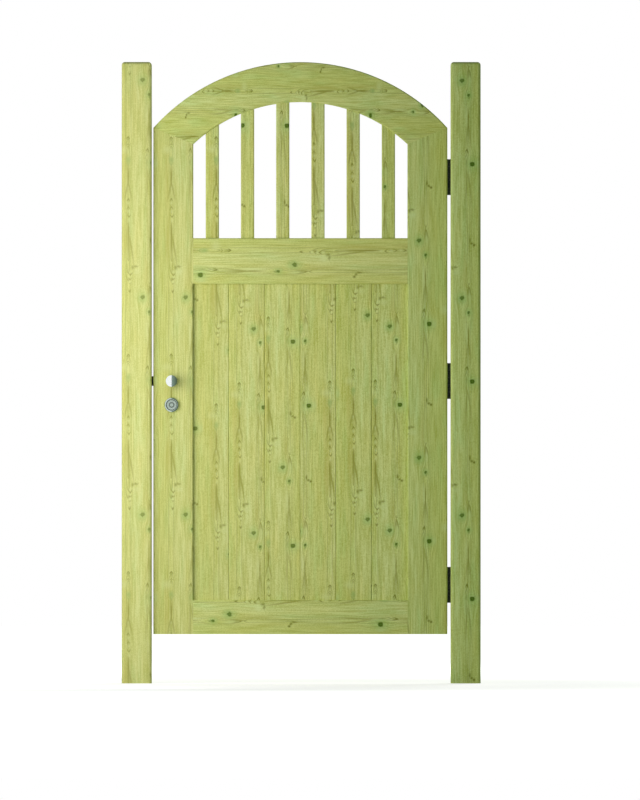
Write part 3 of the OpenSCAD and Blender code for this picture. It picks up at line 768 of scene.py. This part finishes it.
@dataclass(frozen=True)
class Woodwork:
    """Every timber of the gate, with its place on the pine sheet as the photograph shows it."""

    # Hinge-side tints, darker and greener, are painted shade; the lower latch-side figures are a painted
    # highlight.
    timbers: tuple[Timber, ...] = (
        Timber("latch_post", -520.3, 1635.6, tint_and_shade=(1.02, 0.995, 1.01), figure_through_highlight=0.72),
        Timber("hinge_post", 440.8, 1633.2, tint_and_shade=(0.915, 1.005, 0.92)),
        Timber("latch_stile", -391.1, 1635.4, tint_and_shade=(0.985, 0.975, 0.985), figure_through_highlight=0.80),
        Timber("hinge_stile", 311.6, 1806.6, tint_and_shade=(0.915, 0.985, 0.93)),
        Timber("arched_head", 1783.1, 252.6, 0.62, (0.97, 1.0, 0.955), grain=Grain.LEVEL),
        Timber("middle_rail", 1303.2, 514.3, 1.128, (1.01, 1.015, 1.01), 0.92, Grain.LEVEL),
        Timber("bottom_rail", 251.1, 318.9, 1.13, (0.975, 1.0, 0.975), grain=Grain.LEVEL),
        Timber("board_1", -255.6, 833.7, 0.94, (0.99, 0.98, 0.975), 0.78),
        Timber("board_2", -186.4, 897.3, 0.94, (1.02, 1.01, 1.01), 0.86),
        Timber("board_3", -98.8, 1095.1, 0.94, (1.02, 1.02, 0.99), 0.88),
        Timber("board_4", 86.4, 902.4, 0.94, (1.01, 1.01, 1.0), 0.96),
        Timber("board_5", 156.9, 938.5, 0.94, (0.97, 0.995, 0.935), 0.95),
        Timber("board_6", 223.4, 905.1, 0.94, (0.975, 1.015, 0.985)),
        Timber("baluster_1", -255.9, 1637.1),
        Timber("baluster_2", -251.1, 1750.3),
        Timber("baluster_3", -116.8, 1749.4),
        Timber("baluster_4", 37.9, 1803.6),
        Timber("baluster_5", 153.0, 1741.3),
        Timber("baluster_6", 189.1, 2012.3, tint_and_shade=(0.96, 1.0, 0.92)),
        Timber("head_dowels", 0.0, 1600.0, tint_and_shade=(1.1, 0.85, 0.9)),
    )

    def dress(self) -> None:
        """Gives each timber's solid its own pine material."""
        pine = PineSheet().group()
        for timber in self.timbers:
            paint(timber.material(pine), timber.node)


# Metal


# The colour of the painted shade in the grooves of the lock's face.
GROOVE_SHADE: Colour = (0.10, 0.13, 0.10)


@dataclass(frozen=True)
class MetalFinish:
    """A metal's look, from colour to worn_and_glint. metallic is 0 where it is painted.

    speck is how much the finest smears count. turned gives it fine rings about a lock axis, a pitch apart in
    millimetres. Each of shaded_rings is a ring of painted shade over a groove of the lock's face: its radius,
    its half width, and how dark it is. The worn_and_glint colour comes in as the smears, from wear_middle,
    climb over wear_and_glint: it is wear, and on the black steel painted glints as well.
    """

    name: str
    colour: Colour
    worn_and_glint: Colour
    roughness: float
    metallic: float = 1.0
    turned: bool = False
    speck: float = 0.5
    shaded_rings: tuple[tuple[float, float, float], ...] = ()
    smear_scale: float = 180.0
    speck_scale: float = 1400.0
    rough_layers: float = 0.6
    smear: float = 0.9
    wear_middle: float = 0.3
    wear_and_glint: tuple[float, float] = (0.15, 0.75)
    smear_rough: float = 0.06
    speck_rough: float = 0.08
    pitch: float = 0.35
    relief: float = 0.12
    relief_depth: float = 0.02

    def material(self, axis: tuple[float, float] | None = None) -> bpy.types.Material:
        """Makes the material.

        Smears of two scales shift the colour and the roughness. On turned metal, a fine wave of the distance
        from the lock axis is the relief that the lathe leaves.

        Args:
            axis: X and Z of the axis that turned metal was turned about.

        Returns:
            The material.
        """
        material, tree, shader = new_material(self.name)
        place = coordinate(tree)
        smear = noise(place, self.smear_scale, 3.0, self.rough_layers)
        speck = noise(place, self.speck_scale, 2.0, self.rough_layers)
        # The smears give wear, and on the black steel also painted glints.
        wear_and_glint = (smear * self.smear + speck * self.speck + self.wear_middle).ease(*self.wear_and_glint)
        colour = dye(wear_and_glint, self.colour, self.worn_and_glint)
        relief = speck + 0.5
        if self.turned and axis:
            x, _, z = parts_of(place)
            aside, above = x - axis[0], z - axis[1]
            radius = (aside * aside + above * above).math("SQRT") / MM
            relief = (radius * (2 * np.pi / self.pitch)).math("SINE") * 0.5 + 0.5
            # Painted shade: a dark ring over each groove of the lock's face.
            for centre, half, dark in self.shaded_rings:
                colour = dye((radius - centre).near(half) * dark, colour, GROOVE_SHADE)
        rough = smear * self.smear_rough + speck * self.speck_rough + self.roughness
        normal = bump(relief, self.relief, self.relief_depth * MM)
        fill(shader, Base_Color=colour, Roughness=rough, Metallic=self.metallic, Normal=normal)
        return material


# The green cast in these metals' colours, and in the black steel's, is painted reflection of the green pine
# round them.
SATIN = MetalFinish("satin_furniture", (0.90, 0.95, 0.93), (0.85, 0.90, 0.88), 0.12, turned=True)
COLLAR = MetalFinish("satin_collar", (0.60, 0.69, 0.63), (0.46, 0.53, 0.47), 0.16, turned=True)
# Its dark rings are painted shade in the grooves of the plug and the cylinder.
CORE = MetalFinish(
    "lock_core", (0.56, 0.65, 0.58), (0.44, 0.51, 0.45), 0.14, turned=True,
    shaded_rings=((6.8, 3.4, 0.80), (14.9, 1.0, 0.55)),
)
# Its pale green-grey specks are partly wear and partly painted glints on the hinge knuckles.
BLACK_GLINTED = MetalFinish("black_steel", (0.030, 0.040, 0.028), (0.200, 0.235, 0.170), 0.42, 0.0, speck=2.2)
LATCH = MetalFinish("latch_steel", (0.006, 0.006, 0.006), (0.015, 0.015, 0.015), 0.45, 0.0)
ZINC = MetalFinish("zinc_steel", (0.60, 0.61, 0.61), (0.50, 0.51, 0.52), 0.33)
BRASS = MetalFinish("lock_brass", (0.70, 0.56, 0.26), (0.58, 0.45, 0.20), 0.35)


def paint(material: bpy.types.Material, *nodes: str) -> None:
    """Gives some solids one material.

    Args:
        material: The material.
        nodes: The solids' names.
    """
    for node in nodes:
        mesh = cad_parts[node].data
        mesh.materials.clear()
        mesh.materials.append(material)
    LOG.info("%s: %s", material.name, ", ".join(nodes))


# Turned and wound pieces


def arc(centre: tuple[float, float], radius: float, start: float, end: float, count: int = 9) -> np.ndarray:
    """Points on a circle, from one angle in degrees to another.

    Args:
        centre: The circle's centre.
        radius: Its radius.
        start: The first angle.
        end: The last angle.
        count: The number of points.

    Returns:
        The points, one in each row.
    """
    angle = np.radians(np.linspace(start, end, count))
    return np.column_stack((centre[0] + radius * np.cos(angle), centre[1] + radius * np.sin(angle)))


def build(name: str, points: np.ndarray, faces: list[np.ndarray], smooth: bool = True) -> Object:
    """Makes an object from arrays.

    Args:
        name: The object's name.
        points: The vertices, one in each row.
        faces: Arrays of faces, each of one number of corners.
        smooth: Whether the faces are shaded smooth.

    Returns:
        The object, linked to the scene at the origin.
    """
    mesh = bpy.data.meshes.new(name)
    mesh.from_pydata(points.tolist(), [], [face for block in faces for face in block.tolist()])
    mesh.polygons.foreach_set("use_smooth", np.full(len(mesh.polygons), smooth))
    mesh.validate()
    mesh.update()
    made = bpy.data.objects.new(name, mesh)
    bpy.context.scene.collection.objects.link(made)
    return made


def turned(
    profile: np.ndarray, axis: tuple[float, float], face: float, side: float, steps: int = 96
) -> Shell:
    """A solid of revolution about a line along Y.

    A point of the profile at radius r and height h, turned by angle a, lies at x + r cos a, z + r sin a and
    face + side times h. A profile that starts and ends on the axis gets a fan of triangles at each pole, and
    one that doesn't is a ring whose last point joins its first.

    Args:
        profile: Radius and height of each point, in millimetres, anticlockwise with the radius to the right.
        axis: X and Z of the line.
        face: Y of the face that heights are measured from.
        side: 1 towards +Y, and -1 towards -Y.
        steps: The number of points round the axis.

    Returns:
        The vertices and the faces.
    """
    whole = profile[0, 0] == 0.0
    rim = profile[1:-1] if whole else profile
    angle = np.linspace(0, 2 * np.pi, steps, endpoint=False)
    radius, height = rim[:, :1] * MM, np.repeat(rim[:, 1:] * MM, steps, axis=1)
    grid = np.stack(
        (axis[0] + radius * np.cos(angle), face + side * height, axis[1] + radius * np.sin(angle)), axis=-1
    ).reshape(-1, 3)
    rows = np.arange(len(rim) * steps).reshape(len(rim), steps)
    lower, upper = (rows[:-1], rows[1:]) if whole else (rows, np.roll(rows, -1, axis=0))
    quads = np.stack((lower, np.roll(lower, -1, 1), np.roll(upper, -1, 1), upper), axis=-1).reshape(-1, 4)
    faces = [quads]
    if whole:
        poles = np.array([[axis[0], face + side * profile[k, 1] * MM, axis[1]] for k in (0, -1)])
        first, last = len(grid), len(grid) + 1
        start, end = rows[0], rows[-1]
        faces.append(np.stack((np.full(steps, first), np.roll(start, -1), start), axis=-1))
        faces.append(np.stack((np.full(steps, last), end, np.roll(end, -1)), axis=-1))
        grid = np.vstack((grid, poles))
    if side > 0:
        faces = [block[:, ::-1] for block in faces]
    return grid, faces


def coil(
    start: float, end: float, axis: tuple[float, float], reach: float, wire: float, turns: float,
    per_turn: int = 24, sides: int = 12, climb_close: float = 1.07,
) -> Shell:
    """Wire wound about a line along X, with its first and last turns lying close.

    At angle a, the middle of the wire is out from the line by the coil's radius along (cos a, sin a). Along
    the line it climbs evenly, but in the first and the last turn by climb_close times the wire's thickness.
    The surface is a circle about each such point, square to the way the wire runs. A fan closes each end.

    Args:
        start: X where the coil begins.
        end: X where it ends.
        axis: Y and Z of the line.
        reach: The coil's outer radius.
        wire: The wire's thickness.
        turns: The number of turns.
        per_turn: The number of points in a turn.
        sides: The number of points round the wire.
        climb_close: How far an end turn climbs, in thicknesses of the wire.

    Returns:
        The vertices and the faces.
    """
    rows = int(turns * per_turn) + 1
    angle = np.linspace(0, 2 * np.pi * turns, rows)
    run, close = end - start - wire, climb_close * wire
    climb = np.interp(angle / (2 * np.pi), (0, 1, turns - 1, turns), (0, close, run - close, run))
    out = np.column_stack((np.zeros(rows), np.cos(angle), np.sin(angle)))
    middle = np.column_stack((start + wire / 2 + climb, np.full(rows, axis[0]), np.full(rows, axis[1])))
    middle += (reach - wire / 2) * out
    way = np.gradient(middle, axis=0)
    across = np.cross(way / np.linalg.norm(way, axis=1, keepdims=True), out)
    bend = np.linspace(0, 2 * np.pi, sides, endpoint=False)[:, None]
    skin = np.cos(bend) * out[:, None] + np.sin(bend) * across[:, None]
    grid = (middle[:, None] + wire / 2 * skin).reshape(-1, 3)
    ring = np.arange(rows * sides).reshape(rows, sides)
    ahead = np.roll(ring, -1, 1)
    quads = np.stack((ring[:-1], ahead[:-1], ahead[1:], ring[1:]), axis=-1).reshape(-1, 4)
    first, last = (np.full(sides, len(grid) + k) for k in (0, 1))
    caps = np.vstack((
        np.column_stack((first, ahead[0], ring[0])),
        np.column_stack((last, ring[-1], ahead[-1])),
    ))
    return np.vstack((grid, middle[[0, -1]])), [quads, caps]


@dataclass(frozen=True)
class Lock:
    """The lock's furniture: knobs, roses, cylinder, spring, and the turn piece at the back. Millimetres.

    The collar's dome is a quarter of an ellipse: its crest's radius, its foot's height, and its half axes.
    """

    axis_x: float = -390.0
    knob_z: float = 910.0
    key_z: float = 838.0
    leaf_face: float = 22.5
    knob_r: float = 17.5
    knob_out: float = 50.0
    knob_back: float = 17.0
    knob_edge: float = 6.0
    crown: float = 4.0
    neck_r: float = 8.0
    round_back: float = 1.5
    round_front: float = 1.0
    collar_bore: float = 15.15
    collar_r: float = 22.5
    collar_seat: float = 4.0
    collar_dome: tuple[float, float, float, float] = (17.3, 4.6, 5.2, 4.4)
    collar_lip: float = 0.6
    latch_throw: float = 12.0
    spring_wire: float = 1.4
    spring_turns: float = 7.5

    @property
    def knob_axis(self) -> tuple[float, float]:
        """X and Z of the knobs' axis, in metres."""
        return self.axis_x * MM, self.knob_z * MM

    @property
    def key_axis(self) -> tuple[float, float]:
        """X and Z of the cylinder's axis, in metres."""
        return self.axis_x * MM, self.key_z * MM

    def knob_profile(self) -> np.ndarray:
        """Half of a knob's outline: a straight neck, a round back edge, a soft rim and a domed face.

        Returns:
            Radius and height of each point.
        """
        big = (self.knob_r**2 + self.crown**2) / (2 * self.crown)
        dome = np.degrees(np.arctan2(big - self.crown, self.knob_r - 1.2))
        back, front = self.round_back, self.round_front
        rim, edge = self.knob_out - self.crown, self.knob_edge
        return np.vstack((
            [[0.0, 0.0], [self.neck_r - 0.01, 0.0], [self.neck_r, 0.4]],
            arc((self.neck_r + back, self.knob_back - back), back, 180, 90, 6),
            arc((self.knob_r - edge, self.knob_back + edge), edge, -90, 0, 14),
            arc((self.knob_r - front, rim - front), front, 0, 70, 6),
            arc((0.0, self.knob_out - big), big, dome, 90, 20)[1:-1],
            [[0.0, self.knob_out]],
        ))

    def knob(self, node: str, side: float) -> None:
        """Makes a knob in place of its solid.

        Args:
            node: The solid's name.
            side: -1 at the front and 1 at the back.
        """
        shell = turned(self.knob_profile(), self.knob_axis, side * self.leaf_face * MM, side)
        made = build(f"turned_{node}", *shell)
        stand_in(made, node, "knob_set", SATIN.material(self.knob_axis))

    def collar(self) -> None:
        """Makes the cylinder's collar in place of its solid: a ring whose outside is a dome."""
        crest, foot, wide, tall = self.collar_dome
        sweep = np.radians(np.linspace(0, 84, 16))
        lip, bore, seat = self.collar_lip, self.collar_bore, self.collar_seat
        profile = np.vstack((
            [[bore, 0.0], [self.collar_r, 0.0]],
            np.column_stack((crest + wide * np.cos(sweep), foot + tall * np.sin(sweep))),
            arc((crest - 0.2, foot + tall - lip), lip, 90, 180, 5),
            [[crest - 0.2 - lip, seat], [bore, seat]],
        ))
        made = build("turned_collar", *turned(profile, self.key_axis, -self.leaf_face * MM, -1.0))
        finish = COLLAR.material(self.key_axis)
        stand_in(made, "cylinder_collar", "gate_leaf", finish)

    def spring(self) -> None:
        """Winds the latch's return spring in place of its sleeve, and gives it a mesh of its own."""
        low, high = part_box("latch_spring")
        axis = (low[1] + high[1]) / 2, (low[2] + high[2]) / 2
        reach, length = (high[2] - low[2]) / 2, high[0] - low[0]
        wound = coil(low[0], high[0], axis, reach, self.spring_wire * MM, self.spring_turns)
        made = build("wound_latch_spring", *wound)
        stand_in(made, "latch_spring", "gate_leaf", ZINC.material())
        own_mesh(made)

    def dress(self) -> None:
        """Makes the turned pieces and the spring, and dresses the lock's other solids."""
        self.knob("front_knob", -1.0)
        self.knob("back_knob", 1.0)
        self.collar()
        self.spring()
        paint(SATIN.material(self.knob_axis), "front_knob_rose", "back_knob_rose")
        paint(SATIN.material(self.key_axis), "turn_rose", "thumb_turn", "lock_forend")
        paint(CORE.material(self.key_axis), "cylinder_body", "key_plug")
        paint(
            ZINC.material(), "lock_case", "lock_cover", "forend_screws", "rose_screws", "spindle", "follower",
            "grub_screws", "tail_rod", "strike_plate", "strike_screws",
        )
        paint(BRASS.material(), "lock_cam", "dead_bolt")
        paint(LATCH.material(), "latch_bolt")


def stand_in(made: Object, node: str, body: str, material: bpy.types.Material) -> None:
    """Puts a new piece in a solid's place.

    Args:
        made: The new piece.
        node: The solid that it stands for.
        body: The body that it rides on.
        material: Its material.
    """
    made.data.materials.append(material)
    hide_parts(node)
    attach(made, body)
    LOG.info("%s stands for %s on %s", made.name, node, body)


@dataclass(frozen=True)
class Hinges:
    """The three black butt hinges and their screws."""

    count: int = 3

    def dress(self) -> None:
        """Gives the leaves and screws black paint and the pins bare steel."""
        numbers = range(1, self.count + 1)
        leaves = [f"{side}_hinge_leaf_{number}" for side in ("post", "gate") for number in numbers]
        paint(BLACK_GLINTED.material(), *leaves, "post_hinge_screws", "gate_hinge_screws")
        paint(ZINC.material(), *(f"hinge_pin_{number}" for number in numbers))


# Studio


@dataclass(frozen=True)
class Lamp:
    """A soft area lamp: its place, what it looks at, its two sides, its power in watts, and its colour."""

    name: str
    place: tuple[float, float, float]
    target: tuple[float, float, float]
    size: tuple[float, float]
    power: float
    colour: Colour = WHITE


@dataclass(frozen=True)
class Studio:
    """The plain room: a camera far off in front, soft lamps, a pale floor and a white background.

    room_light and room_colour are the world's light on the gate. Only reflections see the grey wall.
    floor_glow is the light that the floor sends the camera of itself, so that it is white where no shade
    falls, and shade_reach is how far from the middle its whole shade still shows.
    """

    camera_x: float = 0.0566
    camera_z: float = 0.8528
    camera_far: float = 60.0
    view_height: float = 2.409
    floor_side: float = 30.0
    floor_grey: float = 0.58
    floor_cloud: float = 0.03
    floor_rough: float = 0.8
    floor_glow: float = 0.62
    shade_reach: float = 0.8
    room_light: float = 0.217
    room_colour: Colour = (0.92, 1.12, 0.86)
    wall_near: Colour = (0.21, 0.28, 0.24)
    wall_far: Colour = (0.08, 0.115, 0.055)
    wall_edge: float = 0.02
    wall_front: float = 0.25
    wall_end: float = 0.9
    lamps: tuple[Lamp, ...] = (
        Lamp("key", (-1.376, -1.320, 1.063), (-1.404, 0.0, 1.063), (2.00, 1.70), 31.8, (1.0, 0.94, 1.0)),
        Lamp("side", (-4.0, -2.6, 1.3), (0.0, 0.0, 1.3), (1.5, 2.4), 22.2, (1.0, 0.94, 1.0)),
        Lamp("back", (1.6, 3.6, 2.6), (0.0, 0.0, 0.9), (1.6, 2.0), 110.0),
    )

    def camera(self) -> None:
        """Places the camera: straight in front, with a lens so long that the view is all but parallel."""
        data = bpy.data.cameras.new("camera")
        data.sensor_width = 36.0
        data.lens = data.sensor_width * self.camera_far / self.view_height
        data.clip_start, data.clip_end = 1.0, 4 * self.camera_far
        camera = bpy.data.objects.new("camera", data)
        camera.location = (self.camera_x, -self.camera_far, self.camera_z)
        camera.rotation_euler = (np.pi / 2, 0.0, 0.0)
        bpy.context.scene.collection.objects.link(camera)
        bpy.context.scene.camera = camera

    def light(self) -> None:
        """Hangs the lamps."""
        for lamp in self.lamps:
            data = bpy.data.lights.new(lamp.name, "AREA")
            data.shape = "RECTANGLE"
            data.size, data.size_y = lamp.size
            data.energy = lamp.power
            data.color = lamp.colour
            made = bpy.data.objects.new(lamp.name, data)
            made.location = lamp.place
            made.visible_glossy = False
            aim = np.array(lamp.target) - np.array(lamp.place)
            flat = float(np.hypot(aim[0], aim[1]))
            made.rotation_euler = (float(np.arctan2(flat, -aim[2])), 0.0, float(np.arctan2(-aim[0], aim[1])))
            bpy.context.scene.collection.objects.link(made)

    def room(self) -> None:
        """Makes the world: white where it is seen, and a level pale light elsewhere.

        Reflections see a grey wall on the right of the room, so that round metal has a light and a dark half.
        """
        world = bpy.data.worlds.new("room")
        world.use_nodes = True
        tree = world.node_tree
        back = tree.nodes["Background"]
        back.inputs["Color"].default_value = (*WHITE, 1.0)
        seen = largest([ray(tree, kind) for kind in ("Camera", "Glossy", "Transmission")])
        right, away, _ = parts_of(coordinate(tree, "Generated"))
        aside = right.ease(0.0, self.wall_edge) * away.ease(self.wall_front, -self.wall_front)
        wall = aside * ray(tree, "Glossy")
        grey = dye(right.ease(0.0, self.wall_end), self.wall_near, self.wall_far)
        feed(dye(wall, dye(seen, self.room_colour, WHITE), grey), back.inputs["Color"])
        feed(seen * (1.0 - self.room_light) + self.room_light, back.inputs["Strength"])
        bpy.context.scene.world = world

    def floor(self) -> None:
        """Lays the floor: pale under the gate's shade, and as white as the background elsewhere."""
        half = self.floor_side / 2
        corners = np.array([[-half, -half, 0], [half, -half, 0], [half, half, 0], [-half, half, 0]], float)
        floor = build("floor", corners, [np.array([[0, 1, 2, 3]])], smooth=False)
        material, tree, shader = new_material("pale_floor")
        place = coordinate(tree)
        grey = noise(place, 3.0, 3.0) * self.floor_cloud + self.floor_grey
        x, y, _ = parts_of(place)
        far = (x * x + y * y).math("SQRT").ease(self.shade_reach, 3 * self.shade_reach)
        glow = (far * (1.0 - self.floor_glow) + self.floor_glow) * ray(tree, "Camera")
        fill(
            shader, Base_Color=vector(grey, grey, grey), Roughness=self.floor_rough, Specular_IOR_Level=0.0,
            Emission_Color=(*WHITE, 1.0), Emission_Strength=glow,
        )
        floor.data.materials.append(material)
        floor.visible_glossy = False

    def build(self) -> None:
        """Sets the whole room up."""
        bpy.context.scene.view_settings.view_transform = "Standard"
        self.camera()
        self.light()
        self.room()
        self.floor()


def main() -> None:
    """Builds the scene in order."""
    logging.basicConfig(level=logging.INFO)
    Studio().build()
    Woodwork().dress()
    Lock().dress()
    Hinges().dress()


if __name__ == "__main__":
    main()
